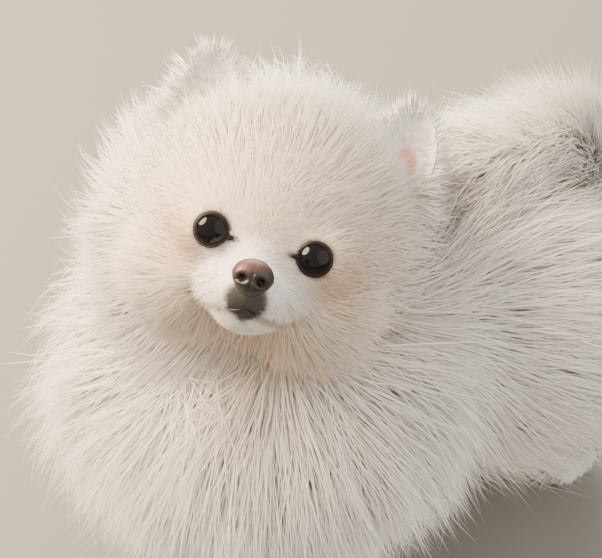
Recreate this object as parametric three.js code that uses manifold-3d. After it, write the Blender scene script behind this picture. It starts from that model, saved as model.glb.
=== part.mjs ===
// A standing pomeranian, life size, as a still museum model: it looks up and to its left.
// Millimetres, +Z up. The dog faces -Y and its left side is at +X. The feet stand at Z = 0.
import * as THREE from 'three';
import { mergeVertices } from 'three/addons/utils/BufferGeometryUtils.js';
import Module from 'manifold-3d';

// Driving dimensions
const GAP = 0.35; // air between two nodes that touch
const TIP_CLEARANCE = 16; // the coat's tips stay this far above the floor
const EYE_SPACING = 43;
const EYEBALL = 8.3; // radius
const LID_OPENING = 7; // radius of the open eye
const NOSE_WIDTH = 16;
const NOSE_HEIGHT = 14;
const NOSE_REACH = 65; // from the middle of the skull to the middle of the nose
const EAR_HEIGHT = 54; // of the whole ear, down to its root in the skull
const EAR_WIDTH = 32;
const EAR_RIM = 3.5;
const LEG_TRACK = 78; // between the left and right paws
const SHOULDER = [-62, 100]; // y and z of the top of the front legs
const HIP = [84, 100]; // y and z of the top of the hind legs
const PAW_Y = { front_left: -34, front_right: -100, hind_left: 112, hind_right: 92 };

// The turned head, as the photograph shows it
const HEAD_CENTRE = [18, -78, 228];
const HEAD_TURN = THREE.MathUtils.degToRad(62); // to the dog's left
const HEAD_LIFT = THREE.MathUtils.degToRad(-40); // nose up
const HEAD_TILT = THREE.MathUtils.degToRad(16.6); // left ear down

// Locks of the coat: how many are tried, their width, thickness and run along the lie
const LOCKS = {
  crown: { tries: 60, width: 22, thickness: 5, run: 22 },
  collar: { tries: 80, width: 33, thickness: 8, run: 20 },
  chest: { tries: 82, width: 36, thickness: 8, run: 42 },
  back: { tries: 54, width: 38, thickness: 8, run: 44 },
  tail: { rows: 3, around: 4, width: 38, thickness: 6, run: 42 },
  leg: { around: 2, width: 24, thickness: 5, run: 26 },
};
const ROOT_DEPTH = 10; // how far each lock is sunk into its core
const STRAY = 0.5; // how far a lock may turn from the lie, in radians

const WHITE = '#f3e9dd';
const CREAM = '#ecdcc8';

const wasm = await Module();
wasm.setup();

const vector = (p) => new THREE.Vector3(...p);

// One seeded draw after another, each from 0 to 1
let seed = 20;
function draw() {
  seed = (seed * 1664525 + 1013904223) % 4294967296;
  return seed / 4294967296;
}
const vary = (size, share) => size * (1 + share * (2 * draw() - 1));

function weld(geometry) {
  geometry.deleteAttribute('normal');
  geometry.deleteAttribute('uv');
  return mergeVertices(geometry, 1e-4);
}

// An ellipsoid, the plain form of a mass of flesh
function ball(centre, radii, detail = 3) {
  const geometry = new THREE.IcosahedronGeometry(1, detail);
  geometry.scale(...radii);
  geometry.translate(...centre);
  return weld(geometry);
}

// A closed form swept along a line, with a width and a thickness at each share of its length
function sweep(line, widths, thicknesses, sides, steps, across) {
  const geometry = new THREE.CylinderGeometry(1, 1, 1, sides, steps);
  const place = geometry.getAttribute('position');
  const at = (list, share) => {
    const span = share * (list.length - 1);
    const low = Math.min(Math.floor(span), list.length - 2);
    return THREE.MathUtils.lerp(list[low], list[low + 1], span - low);
  };
  for (let i = 0; i < place.count; i++) {
    const share = place.getY(i) + 0.5;
    const tangent = line.getTangent(share);
    const side = new THREE.Vector3().crossVectors(across, tangent).normalize();
    const out = new THREE.Vector3().crossVectors(side, tangent);
    const point = line.getPoint(share)
      .addScaledVector(side, (-place.getX(i) * at(widths, share)) / 2)
      .addScaledVector(out, (-place.getZ(i) * at(thicknesses, share)) / 2);
    place.setXYZ(i, point.x, point.y, point.z);
  }
  return weld(geometry);
}

// A closed round tube along a smooth line, with a radius for each of its points
function tube(points, radii, sides = 10, steps = 6) {
  const line = new THREE.CatmullRomCurve3(points.map(vector));
  const across = new THREE.Vector3(1, 0.02, 0.01).normalize();
  const widths = radii.map((radius) => 2 * radius);
  return sweep(line, widths, widths, sides, steps, across);
}

// A lock of hair from a root to a tip: flat, tapered, and bent along the lie.
// Its room is the same lock with air round it, which its neighbours are cut clear of.
function lock(root, out, tip, width, thickness) {
  const sunk = root.clone().addScaledVector(out, -ROOT_DEPTH);
  const bend = root.clone().lerp(tip, 0.4).addScaledVector(out, root.distanceTo(tip) * 0.24);
  const [form, room] = [0, GAP].map((air) => {
    const end = tip.clone().addScaledVector(tip.clone().sub(bend).normalize(), air);
    const line = new THREE.QuadraticBezierCurve3(sunk, bend, end);
    const widths = [0.7, 1, 0.9, 0.56, 0].map((share) => share * width + 8 * air);
    const thicknesses = [1, 1, 0.85, 0.6, 0].map((share) => share * thickness + 5 * air);
    return sweep(line, widths, thicknesses, 3, 4, out);
  });
  return { form, room };
}
const formsOf = (locks) => locks.map((made) => made.form);
const roomsOf = (locks) => locks.map((made) => made.room);

function solid(geometry) {
  return new wasm.Manifold(new wasm.Mesh({
    numProp: 3,
    vertProperties: new Float32Array(geometry.getAttribute('position').array),
    triVerts: new Uint32Array(geometry.index.array),
  }));
}
const joined = (geometries) => wasm.Manifold.union(geometries.map(solid));

// The same form, larger all round
function grown(geometry, by) {
  const larger = geometry.clone();
  larger.computeVertexNormals();
  const place = larger.getAttribute('position');
  const normal = larger.getAttribute('normal');
  for (let i = 0; i < place.count; i++) {
    place.setXYZ(
      i,
      place.getX(i) + normal.getX(i) * by,
      place.getY(i) + normal.getY(i) * by,
      place.getZ(i) + normal.getZ(i) * by,
    );
  }
  larger.deleteAttribute('normal');
  return larger;
}
const cleared = (geometries, by = GAP) => joined(geometries.map((geometry) => grown(geometry, by)));

// The largest closed surface of a solid, as geometry
function largest(body) {
  const kept = body.decompose().reduce((a, b) => (b.volume() > a.volume() ? b : a));
  const mesh = kept.getMesh();
  const geometry = new THREE.BufferGeometry();
  geometry.setAttribute('position', new THREE.BufferAttribute(new Float32Array(mesh.vertProperties), 3));
  geometry.setIndex(new THREE.BufferAttribute(new Uint32Array(mesh.triVerts), 1));
  return geometry;
}

const pomeranian = new THREE.Group();
function node(name, body, color, roughness = 0.85) {
  const finish = new THREE.MeshStandardMaterial({ color, roughness, metalness: 0 });
  const mesh = new THREE.Mesh(largest(body), finish);
  mesh.name = name;
  pomeranian.add(mesh);
}

// The head's frame: it looks along its own -Y from the middle of the skull
const headFrame = new THREE.Matrix4().compose(
  vector(HEAD_CENTRE),
  new THREE.Quaternion().setFromEuler(new THREE.Euler(HEAD_LIFT, HEAD_TILT, HEAD_TURN, 'ZXY')),
  vector([1, 1, 1]),
);
const bodyFrame = new THREE.Matrix4();
const inBody = (geometry) => geometry.clone().applyMatrix4(headFrame);
const toHead = headFrame.clone().invert();

// Masses of the body: the core of each, and the ellipsoid that the tips of its locks reach
const MASSES = {
  crown: {
    frame: headFrame,
    core: [[0, 6, 12], [50, 44, 48]],
    coat: [[0, 8, 10], [66, 56, 60]],
  },
  collar: {
    frame: headFrame,
    core: [[0, 42, 4], [64, 50, 62]],
    coat: [[-2, 46, 10], [102, 76, 106]],
  },
  chest: {
    frame: bodyFrame,
    core: [[-12, -60, 132], [84, 78, 76]],
    coat: [[-22, -66, 146], [142, 126, 122]],
  },
  back: {
    frame: bodyFrame,
    core: [[-4, 58, 126], [68, 84, 66]],
    coat: [[-4, 64, 130], [102, 104, 100]],
  },
};
const coreOf = (name, detail) => {
  const [centre, radii] = MASSES[name].core;
  return ball(centre, radii, detail).applyMatrix4(MASSES[name].frame);
};
// Whether a point of the body frame is inside a mass, with its core made larger by a margin
function inside(name, point, margin = 0) {
  const [centre, radii] = MASSES[name].core;
  const p = point.clone().applyMatrix4(MASSES[name].frame.clone().invert()).sub(vector(centre));
  return p.divide(vector(radii).addScalar(margin)).length() < 1;
}

// Head
const muzzle = { centre: [0, -38, -15], radii: [19, 27, 14] };
const headCore = [
  coreOf('crown', 3),
  ...[
    ball([0, -7, 5], [44, 41, 40]),
    ball([22, -12, -15], [24, 25, 22], 2),
    ball([-22, -12, -15], [24, 25, 22], 2),
    ball(muzzle.centre, muzzle.radii),
    ball([0, -38, -25], [13, 20, 8], 2),
  ].map(inBody),
];
const EYE_AT = [EYE_SPACING / 2, -39, 4];
const eyes = [1, -1].map((side) =>
  inBody(ball([side * EYE_AT[0], EYE_AT[1], EYE_AT[2]], [EYEBALL, EYEBALL, EYEBALL], 2)));
const lids = [1, -1].map((side) => {
  const ring = new THREE.TorusGeometry(LID_OPENING, 1.5, 4, 14);
  ring.rotateX(Math.PI / 2);
  ring.rotateZ(side * 0.3);
  ring.translate(side * EYE_AT[0], EYE_AT[1] - 4, EYE_AT[2]);
  return inBody(weld(ring));
});

// The mouth runs round the muzzle from corner to corner, with a lip above it
function mouthLine(drop, out) {
  const [cx, cy, cz] = muzzle.centre;
  const [rx, ry, rz] = muzzle.radii;
  const level = Math.sqrt(1 - (drop / rz) ** 2);
  const points = [];
  for (let step = -4; step <= 4; step++) {
    const turn = step * 0.42;
    const x = cx + (rx * level + out) * Math.sin(turn);
    const y = cy - (ry * level + out) * Math.cos(turn);
    points.push([x, y, cz - drop]);
  }
  return points;
}
const lip = inBody(tube(mouthLine(5.5, 0), [1, 1.8, 1.8, 1.8, 1], 5, 8));
const mouth = inBody(tube(mouthLine(7.6, 0.4), [0.8, 1, 1, 1, 0.8], 4, 8));
const philtrum = inBody(tube([[0, -66, -14], [0, -65.4, -18], [0, -63, -22]], [0.9, 0.9, 0.9], 5, 2));
const nose = [inBody(ball([0, -NOSE_REACH, -9], [NOSE_WIDTH / 2, 6, NOSE_HEIGHT / 2], 2))];
const nostrils = [1, -1].map((side) =>
  inBody(ball([side * 3.4, -NOSE_REACH - 5.4, -9.6], [1.9, 2.4, 1.5], 1)));

// Each ear is a shallow cup that opens forward
const ears = [1, -1].map((side) => {
  const cup = (centre, radii) => {
    const form = ball([0, 0, 0], radii, 2);
    form.rotateY(side * 0.22);
    form.translate(side * centre[0], centre[1], centre[2]);
    return inBody(form);
  };
  return {
    outer: cup([46, 9, 62], [EAR_WIDTH / 2, 8, EAR_HEIGHT / 2]),
    hollow: cup([46, 2, 63], [EAR_WIDTH / 2 - EAR_RIM, 8.5, EAR_HEIGHT / 2 - EAR_RIM]),
  };
});

// Roots spread evenly over the core of a mass, each with its way out and its tip on the coat
function spread(name, lie, accept) {
  const { frame, core, coat } = MASSES[name];
  const { tries, width, thickness, run } = LOCKS[name];
  const made = [];
  for (let i = 0; i < tries; i++) {
    const height = 1 - (2 * (i + 0.5)) / tries;
    const turn = i * Math.PI * (3 - Math.sqrt(5)) + 0.3 * draw();
    const ring = Math.sqrt(1 - height * height);
    const way = new THREE.Vector3(ring * Math.cos(turn), ring * Math.sin(turn), height);
    const size = vary(1, 0.14);
    const reach = vary(0.97, 0.05);
    const stray = (draw() - 0.5) * STRAY;
    const root = way.clone().multiply(vector(core[1])).add(vector(core[0]));
    const out = way.clone().divide(vector(core[1])).normalize();
    const place = root.clone().applyMatrix4(frame);
    const outward = out.clone().transformDirection(frame);
    const flow = lie(place, outward).projectOnPlane(outward).normalize();
    flow.applyAxisAngle(outward, stray);
    const aim = place.clone().addScaledVector(flow, run * size).applyMatrix4(frame.clone().invert());
    const beam = aim.sub(vector(coat[0]));
    const share = beam.clone().divide(vector(coat[1])).length();
    const tip = beam.divideScalar(share / reach).add(vector(coat[0])).applyMatrix4(frame);
    tip.z = Math.max(tip.z, TIP_CLEARANCE);
    if (accept(place, tip, outward)) {
      made.push(lock(place, outward, tip, width * size, thickness));
    }
  }
  return made;
}

// The hair runs away from the face, and down
const faceCentre = vector([0, -62, -8]).applyMatrix4(headFrame);
const down = vector([0, 0, -1]);
const fromFace = (fall) => (place) => place.clone().sub(faceCentre).normalize().addScaledVector(down, fall);
const inFace = (point) => {
  const p = point.clone().applyMatrix4(toHead);
  return p.y < -4 && Math.hypot(p.x, p.z - 4) < 58;
};

const crownLocks = spread('crown', fromFace(0), (root, tip) => {
  const r = root.clone().applyMatrix4(toHead);
  const t = tip.clone().applyMatrix4(toHead);
  const onFace = r.y < -14 && Math.abs(r.x) < 36 && r.z < 24;
  const overCrown = r.y > -32 && r.y < 24 && !inside('collar', root, 2);
  const clearOfEars = Math.hypot(Math.abs(t.x) - 46, (t.z - 62) * 0.6) > EAR_WIDTH / 2;
  return overCrown && !onFace && clearOfEars;
});
const collarLocks = spread('collar', fromFace(0.1), (root, tip) =>
  !inside('crown', root, 4) && !inside('chest', root, 2) && !inside('chest', tip, 2)
  && !inside('back', root, 4) && !inside('back', tip, 8) && !inFace(tip) && !inFace(root));
const chestLocks = spread('chest', fromFace(0.5), (root, tip) =>
  !inside('crown', root, 4) && !inside('collar', root, 2) && !inside('collar', tip, 2)
  && !inside('back', root, 4) && !inside('back', tip, 6) && !inFace(tip) && !inFace(root));
const backLocks = spread('back', () => vector([0, 0.8, -0.45]), (root, tip) =>
  !inside('chest', root, 6) && !inside('collar', root, 6)
  && !inside('chest', tip, 4) && !inside('collar', tip, 6));

// The tail rises from the rump and lies forward over the back
const tailLine = [[-4, 112, 150], [-4, 130, 184], [-4, 100, 206], [-4, 62, 212]];
const tailCore = [tube(tailLine, [13, 14, 14, 9], 8, 8)];
const tailLocks = [];
const tailCurve = new THREE.CatmullRomCurve3(tailLine.map(vector));
for (let row = 0; row < LOCKS.tail.rows; row++) {
  for (let i = 0; i < LOCKS.tail.around; i++) {
    const share = 0.42 + (0.5 * row) / (LOCKS.tail.rows - 1);
    const along = tailCurve.getTangent(share);
    const start = tailCurve.getPoint(share);
    const turn = -1.9 + (3.8 * (i + (row % 2) * 0.5)) / (LOCKS.tail.around - 0.5);
    const up = new THREE.Vector3(1, 0, 0).cross(along).normalize().negate();
    const out = new THREE.Vector3(1, 0, 0).multiplyScalar(Math.sin(turn)).addScaledVector(up, Math.cos(turn));
    const root = start.clone().addScaledVector(out, 11);
    const tip = start.clone()
      .addScaledVector(out, vary(34, 0.1))
      .addScaledVector(along, vary(LOCKS.tail.run, 0.15));
    tailLocks.push(lock(root, out, tip, vary(LOCKS.tail.width, 0.12), LOCKS.tail.thickness));
  }
}

// Legs, each with a paw of four toes
const legs = {};
for (const [name, y] of Object.entries(PAW_Y)) {
  const side = name.endsWith('left') ? 1 : -1;
  const x = (side * LEG_TRACK) / 2;
  const front = name.startsWith('front');
  const [topY, topZ] = front ? SHOULDER : HIP;
  const bend = front ? [x, (y + topY) / 2, 45] : [x, y + 12, 45];
  const toes = [-1.5, -0.5, 0.5, 1.5].map((i) =>
    ball([x + i * 7, y - 16 + Math.abs(i) * 3.4, 6], [3.3, 8, 7], 1));
  const core = [
    tube([[x, topY, topZ], bend, [x, y, 9]], [18, 13, 11], 8, 4),
    ball([x, y - 3, 8], [14, 16, 11], 1),
    ...toes,
  ];
  const locks = [];
  for (let i = 0; i < LOCKS.leg.around; i++) {
    const turn = Math.PI * (0.3 + (0.4 * i) / (LOCKS.leg.around - 1));
    const out = new THREE.Vector3(Math.cos(turn), Math.sin(turn), 0);
    const root = vector(bend).addScaledVector(out, 9);
    const tip = vector(bend)
      .addScaledVector(out, vary(22, 0.1))
      .addScaledVector(down, vary(LOCKS.leg.run, 0.1));
    locks.push(lock(root, out, tip, LOCKS.leg.width, LOCKS.leg.thickness));
  }
  legs[name] = { core, locks };
}
const legColumns = cleared(Object.values(legs).map((leg) => leg.core[0]), 2 * GAP);
const floor = solid(weld(new THREE.BoxGeometry(2000, 2000, 400).translate(0, 0, -200)));

// Each node is cut clear of those before it
const neckCore = [coreOf('collar', 3), coreOf('chest', 3)];
const torsoCore = [coreOf('back', 3)];
const earRoom = cleared(ears.map((ear) => ear.outer));
const crown = joined(formsOf(crownLocks)).subtract(earRoom);
const head = joined([...headCore, ...lids, lip])
  .subtract(joined([mouth, philtrum])).add(crown).subtract(cleared([...eyes, ...nose]));
node('head', head, WHITE);
['left', 'right'].forEach((side, i) => {
  node(`eye_${side}`, solid(eyes[i]), '#14100f', 0.05);
  const ear = solid(ears[i].outer).subtract(solid(ears[i].hollow)).subtract(cleared(headCore));
  node(`ear_${side}`, ear, WHITE);
});
node('nose', joined(nose).subtract(joined(nostrils)), '#3a2725', 0.4);

const headRoom = cleared([...headCore, lip]).add(joined(roomsOf(crownLocks))).add(earRoom).add(head);
const neckLocks = [...collarLocks, ...chestLocks];
const neck = joined([...neckCore, ...formsOf(neckLocks)]).subtract(headRoom).subtract(legColumns);
node('neck', neck, CREAM);
const neckRoom = cleared(neckCore, 2 * GAP).add(joined(roomsOf(neckLocks))).add(neck);
const tail = joined([...tailCore, ...formsOf(tailLocks)]).subtract(neckRoom).subtract(headRoom);
node('tail', tail, WHITE);
const tailRoom = cleared(tailCore, 2 * GAP).add(joined(roomsOf(tailLocks))).add(tail);
const torso = joined([...torsoCore, ...formsOf(backLocks)])
  .subtract(neckRoom).subtract(tailRoom).subtract(headRoom).subtract(legColumns);
node('torso', torso, WHITE);
const torsoRoom = cleared(torsoCore).add(joined(roomsOf(backLocks))).add(torso);
for (const [name, { core, locks }] of Object.entries(legs)) {
  const feathering = joined(formsOf(locks)).subtract(neckRoom).subtract(torsoRoom);
  node(`leg_${name}`, feathering.add(joined(core)).subtract(floor), WHITE);
}

// The origin is the middle of the footprint's box, on the floor
const bounds = new THREE.Box3().setFromObject(pomeranian);
const middle = bounds.getCenter(new THREE.Vector3());
pomeranian.position.set(-middle.x, -middle.y, -bounds.min.z);

export default pomeranian;
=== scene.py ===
"""A still, life-size pomeranian: skin, coat, eyes, nose, mouth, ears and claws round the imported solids.

Sizes are in millimetres in the dog's own frame, where the dog faces -Y, its left side is at +X and its
feet stand at Z = 0. They are turned to metres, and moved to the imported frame, where a mesh is finished.
"""

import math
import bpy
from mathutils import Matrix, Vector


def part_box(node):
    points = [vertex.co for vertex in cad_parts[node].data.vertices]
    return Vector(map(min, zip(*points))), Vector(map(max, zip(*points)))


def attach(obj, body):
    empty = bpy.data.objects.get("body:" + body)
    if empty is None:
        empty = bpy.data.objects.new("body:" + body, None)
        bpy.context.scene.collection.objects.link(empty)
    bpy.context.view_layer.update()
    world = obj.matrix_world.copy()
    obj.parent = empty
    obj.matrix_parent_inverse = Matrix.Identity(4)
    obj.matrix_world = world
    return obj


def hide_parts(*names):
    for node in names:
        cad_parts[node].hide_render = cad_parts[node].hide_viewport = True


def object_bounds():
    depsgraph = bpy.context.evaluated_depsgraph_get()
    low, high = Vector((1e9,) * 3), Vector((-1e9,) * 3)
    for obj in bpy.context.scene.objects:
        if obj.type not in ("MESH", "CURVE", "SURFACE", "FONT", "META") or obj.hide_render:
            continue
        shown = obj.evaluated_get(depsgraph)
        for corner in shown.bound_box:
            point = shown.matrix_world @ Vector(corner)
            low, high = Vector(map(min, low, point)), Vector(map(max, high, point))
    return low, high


bl_info = {
    "name": "Pomeranian",
    "version": (1, 0, 0),
    "blender": (4, 5, 0),
    "location": "3D View > Sidebar > Pomeranian",
    "description": "A standing long-coated spitz dog that looks up and to its left",
    "category": "Add Mesh",
}

import bmesh
import bpy
import numpy as np
from mathutils import Matrix, Vector
from mathutils.kdtree import KDTree

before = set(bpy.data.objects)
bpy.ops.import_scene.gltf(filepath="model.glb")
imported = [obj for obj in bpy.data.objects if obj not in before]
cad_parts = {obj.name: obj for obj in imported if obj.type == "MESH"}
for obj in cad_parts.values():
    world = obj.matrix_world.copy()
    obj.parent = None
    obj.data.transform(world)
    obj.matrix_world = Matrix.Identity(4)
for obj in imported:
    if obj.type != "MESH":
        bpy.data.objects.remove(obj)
CAD_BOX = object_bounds()

BODY = "root"
MM = 0.001

# The turned head, as in the solids
HEAD_CENTRE = (18, -78, 228)
HEAD_TURN = 62
HEAD_LIFT = -40
HEAD_TILT = 16.6
EYE_PLACE = (21.5, -39, 4)
NOSE_PLACE = (0, -65, -9)
MUZZLE = ((0, -38, -15), (18.4, 26.4, 13.4))
FACE_CENTRE = (0, -62, -8)

HEAD = (
    Matrix.Translation(HEAD_CENTRE)
    @ Matrix.Rotation(math.radians(HEAD_TURN), 4, "Z")
    @ Matrix.Rotation(math.radians(HEAD_LIFT), 4, "X")
    @ Matrix.Rotation(math.radians(HEAD_TILT), 4, "Y")
)
DOG = Matrix.Identity(4)

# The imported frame's origin, found from where the solids have the left eye
LOW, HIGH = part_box("eye_left")
SHIFT = (Vector(LOW) + Vector(HIGH)) / 2 - (HEAD @ Vector(EYE_PLACE)) * MM
PLACED = Matrix.Translation(SHIFT) @ Matrix.Diagonal((MM, MM, MM, 1))

# Masses under the coat: name, frame, centre, radii
MASSES = (
    ("crown", HEAD, (0, 6, 12), (47, 41, 45)),
    ("face", HEAD, (0, -7, 5), (42, 38.5, 38)),
    ("cheek_left", HEAD, (22, -12, -15), (22, 23, 20)),
    ("cheek_right", HEAD, (-22, -12, -15), (22, 23, 20)),
    ("muzzle", HEAD, *MUZZLE),
    ("chin", HEAD, (0, -38, -25), (12, 19, 7.5)),
    ("bridge", HEAD, (0, -38, -3), (10, 15, 8)),
    ("orbit_left", HEAD, (21.5, -36.5, 4), (12.5, 8, 12.5)),
    ("orbit_right", HEAD, (-21.5, -36.5, 4), (12.5, 8, 12.5)),
    ("collar", HEAD, (0, 42, 4), (61, 47, 59)),
    ("chest", DOG, (-12, -60, 132), (81, 75, 73)),
    ("back", DOG, (-4, 58, 126), (65, 81, 63)),
)
# Limbs: name, points, radii at those points
LEG_X = 39
LIMBS = (
    ("leg_front_left", ((LEG_X, -62, 100), (LEG_X, -48, 45), (LEG_X, -34, 9)), (17, 12, 9.5)),
    ("leg_front_right", ((-LEG_X, -62, 100), (-LEG_X, -81, 45), (-LEG_X, -100, 9)), (17, 12, 9.5)),
    ("leg_hind_left", ((LEG_X, 84, 100), (LEG_X, 124, 45), (LEG_X, 112, 9)), (17, 12, 9.5)),
    ("leg_hind_right", ((-LEG_X, 84, 100), (-LEG_X, 104, 45), (-LEG_X, 92, 9)), (17, 12, 9.5)),
    ("tail", ((-4, 112, 150), (-4, 130, 184), (-4, 100, 206), (-4, 62, 212)), (12, 13, 13, 8)),
)
# Where the paws stand, the half sizes of a pad and of a toe, and how the toes are spread and set back
PAWS = ((LEG_X, -34), (-LEG_X, -100), (LEG_X, 112), (-LEG_X, 92))
PAD_SIZE = (12.5, 15, 8)
TOE_SIZE = (3.6, 7.5, 5.8)
TOES = (-1.5, -0.5, 0.5, 1.5)
TOE_STEP = 6.6
TOE_SET_BACK = 3.4
SKIN_VOXEL = 2.2

# What the tips of the coat reach over each mass, as in the solids, and how far the hair runs along it
REACH = {
    "crown": (HEAD, (0, 8, 10), (69, 60, 62), 36),
    "collar": (HEAD, (-2, 46, 10), (106, 80, 108), 42),
    "chest": (DOG, (-20, -66, 142), (140, 132, 128), 66),
    "back": (DOG, (-2, 58, 122), (112, 106, 108), 62),
    "mantle": (DOG, (-6, 0, 130), (121, 171, 118), 64),
    "nape": (HEAD, (0, 28, 8), (92, 76, 88), 44),
}
# The coat of each region: strands per square cm and their width
COAT = {
    "crown": (150, 0.6),
    "face": (190, 0.5),
    "cheek": (160, 0.55),
    "muzzle": (330, 0.42),
    "collar": (92, 0.68),
    "chest": (72, 0.7),
    "back": (48, 0.74),
    "tail": (100, 0.66),
    "leg": (50, 0.75),
    "paw": (90, 0.6),
}
# The region over each of the masses and limbs
REGIONS = ("crown", "face", "cheek", "cheek", "muzzle", "muzzle", "muzzle", "face", "face")
REGIONS += ("collar", "chest", "back", "leg", "leg", "leg", "leg", "tail")
PAW_HEIGHT = 24
# The way the hair lies where it doesn't lead away from the face
LIES = {"back": (0, 0.85, -0.5), "leg": (0, 0.25, -1), "paw": (0, -0.8, -0.5)}
# Where the hair is cut short of its full length, and to what share. The head has a formula of its own
SHORTER = {"leg": 0.4, "paw": 0.14}
# How far the hair of the limbs stands out and runs along
LIMB_HAIR = {"coat_tail": (26, 36), "coat_legs": (16, 36)}
# Layers of hair: name, share of the strands, rings in each, width, and how near they come to the reach
LONG = (("_under", 0.42, 2, 1.6, 0.72, 0.89), ("", 0.58, 3, 0.8, 0.86, 1.03))
SHORT = (("", 1.0, 2, 1.0, 0.78, 1.03),)
HEAD_REGIONS = ("crown", "face", "cheek", "muzzle")
# Pieces of the coat: name, regions, layers, strands to a tuft, their pull together, bow, and how much
# cream and painted shade darken the roots
PIECES = (
    ("coat_face", ("face", "cheek", "muzzle"), SHORT, 10, 0.4, 0.12, 0.2),
    ("coat_crown", ("crown",), SHORT, 14, 0.55, 0.2, 0.45),
    ("coat_collar", ("collar",), LONG, 16, 0.6, 0.24, 0.8),
    ("coat_chest", ("chest",), LONG, 18, 0.62, 0.24, 0.8),
    ("coat_back", ("back",), LONG, 18, 0.6, 0.22, 0.8),
    ("coat_tail", ("tail",), LONG, 16, 0.55, 0.2, 0.5),
    ("coat_legs", ("leg", "paw"), SHORT, 12, 0.5, 0.1, 0.4),
)
COAT_SEED = 11
# Rounds of evening out over the skin
EVENED = {"numbers": 6, "masses": 140, "swirl": 24, "lie": 30, "out": 8}
TRIANGLES_PER_PIECE = 190000
# The least height of a tip over the skin, and the longest hair
LEAST_DEPTH = 11
LONGEST = 88
# How far the coat may go past the box of the solids, and how near the floor
BOX_MARGIN = 17
FLOOR_CLEARANCE = 3
# A strand's patch of the bake map is this wide
PATCH = 0.003
# The coat is cut into pieces round this place: x and y
COAT_MIDDLE = (-6, -10)

# The lids lie this far before the middle of the eye. The right ones are a little more closed
LID_AHEAD = 4
RIGHT_LID = 0.94
# No hair grows this near the middle of the lids, or this near the floor
BARE_EYE = 7.0
BARE_SOLE = 3.5
# Half sizes of the nose pad, and of the bare skin round it
NOSE_SIZE = (8.4, 6.8, 7.3)
BARE_NOSE = (8.8, 9, 8)
LIP_PLACE = (0, -64, -20)
# The mouth from under the nose to its left corner: x and z in the head's frame
MOUTH = ((0, -22), (8, -24.5), (16, -25), (22, -23.5), (27, -20.5))
# Lips: how far below the middle of the muzzle, half their thickness, and how far they run to the sides
LIPS = ((8.6, 0.7, 0.26), (10.6, 0.9, 0.24))
# How far outside the muzzle their line runs
LIPS_OUT = 1.2

# The middle of each ear, how far it leans out, in radians, and the half sizes of its cup
EAR_PLACES = {"left": (47, 9, 56), "right": (-41, 9, 56)}
EAR_LEAN = 0.16
EAR_WIDTH = 14.5
EAR_HEIGHT = 22.5
EAR_STRANDS = 3000
EAR_STRAND_WIDTH = 0.62
EAR_SEED = 23

CLAW_LENGTH = 5
CLAW_RADIUS = 1.2
CLAW_TILT = 118

# The camera that the photograph was taken from, and its frame
CAMERA_AZIMUTH = 61.27
CAMERA_ELEVATION = 41.98
CAMERA_DISTANCE = 666.7
CAMERA_TARGET = (-34.9, -30, 150)
FOCAL_PIXELS = 1300
IMAGE_WIDTH = 602
SENSOR_WIDTH = 36
FLOOR_SIZE = 4000
# Lights: name, way from the dog in the camera's right, up and back, diameter in metres, watts and colour
LIGHT_DISTANCE = 1.3
LIGHTS = (
    ("key", (-1.0, 0.9, 0.55), 0.9, 84, "#ffe9c8"),
    ("fill", (1.0, 0.2, 0.9), 1.8, 9, "#f6f3f2"),
    ("top", (0.1, 1.2, -0.4), 1.2, 26, "#fff3e0"),
)


def linear(code):
    """An sRGB hex colour as linear red, green and blue."""
    channels = [int(code[i : i + 2], 16) / 255 for i in (1, 3, 5)]
    return tuple(c / 12.92 if c <= 0.04045 else ((c + 0.055) / 1.055) ** 2.4 for c in channels)


class PomeranianSettings(bpy.types.PropertyGroup):
    """Sizes and colours of the dog."""

    coat_white: bpy.props.FloatVectorProperty(
        name="Coat",
        description="Colour of the tips of the coat",
        subtype="COLOR",
        size=3,
        default=linear("#fdf8f1"),
    )
    # Cream round the face, also laid towards the roots of the strands, partly as undercoat and partly as
    # painted shade
    coat_cream: bpy.props.FloatVectorProperty(
        name="Cream",
        description="Colour of the coat deep down, and round the face",
        subtype="COLOR",
        size=3,
        default=linear("#f0d6b6"),
    )
    eye_radius: bpy.props.FloatProperty(
        name="Eyeball",
        description="Radius of the eyeball",
        default=8.3 * MM,
        subtype="DISTANCE",
        unit="LENGTH",
    )
    lid_opening: bpy.props.FloatProperty(
        name="Lid opening",
        description="Radius of the open lids",
        default=6.4 * MM,
        subtype="DISTANCE",
        unit="LENGTH",
    )
    coat_share: bpy.props.FloatProperty(
        name="Coat density",
        description="Share of the full number of strands",
        default=1.0,
        min=0.05,
        max=1.5,
        subtype="FACTOR",
    )


def settings():
    """The sizes and colours that the scene holds."""
    return bpy.context.scene.pomeranian


# Materials


def add(tree, kind, links=None, **values):
    """Adds a node, sets its sockets and properties, and links what comes in."""
    made = tree.nodes.new(kind)
    for name, value in values.items():
        if name in made.inputs:
            made.inputs[name].default_value = value
        else:
            setattr(made, name, value)
    for socket, source in (links or {}).items():
        tree.links.new(source, made.inputs[socket])
    return made


def material(name):
    """A new material with a plain Principled shader, its node tree and the shader."""
    made = bpy.data.materials.new(name)
    made.use_nodes = True
    tree = made.node_tree
    tree.nodes.clear()
    shader = tree.nodes.new("ShaderNodeBsdfPrincipled")
    output = tree.nodes.new("ShaderNodeOutputMaterial")
    tree.links.new(shader.outputs["BSDF"], output.inputs["Surface"])
    return made, tree, shader


def hair_material():
    """Undyed dog hair: a soft, matt keratin fibre with a faint sheen; its colour is lighter at its tips
    and creamier and darker towards its roots, partly undercoat and partly painted shade.
    """
    made, tree, shader = material("dog_hair_white")
    shader.inputs["Roughness"].default_value = 0.72
    shader.inputs["Sheen Weight"].default_value = 0.25
    shader.inputs["Sheen Roughness"].default_value = 0.5
    colour = add(tree, "ShaderNodeAttribute", attribute_name="markings_and_painted_light")
    tree.links.new(colour.outputs["Color"], shader.inputs["Base Color"])
    return made


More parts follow.
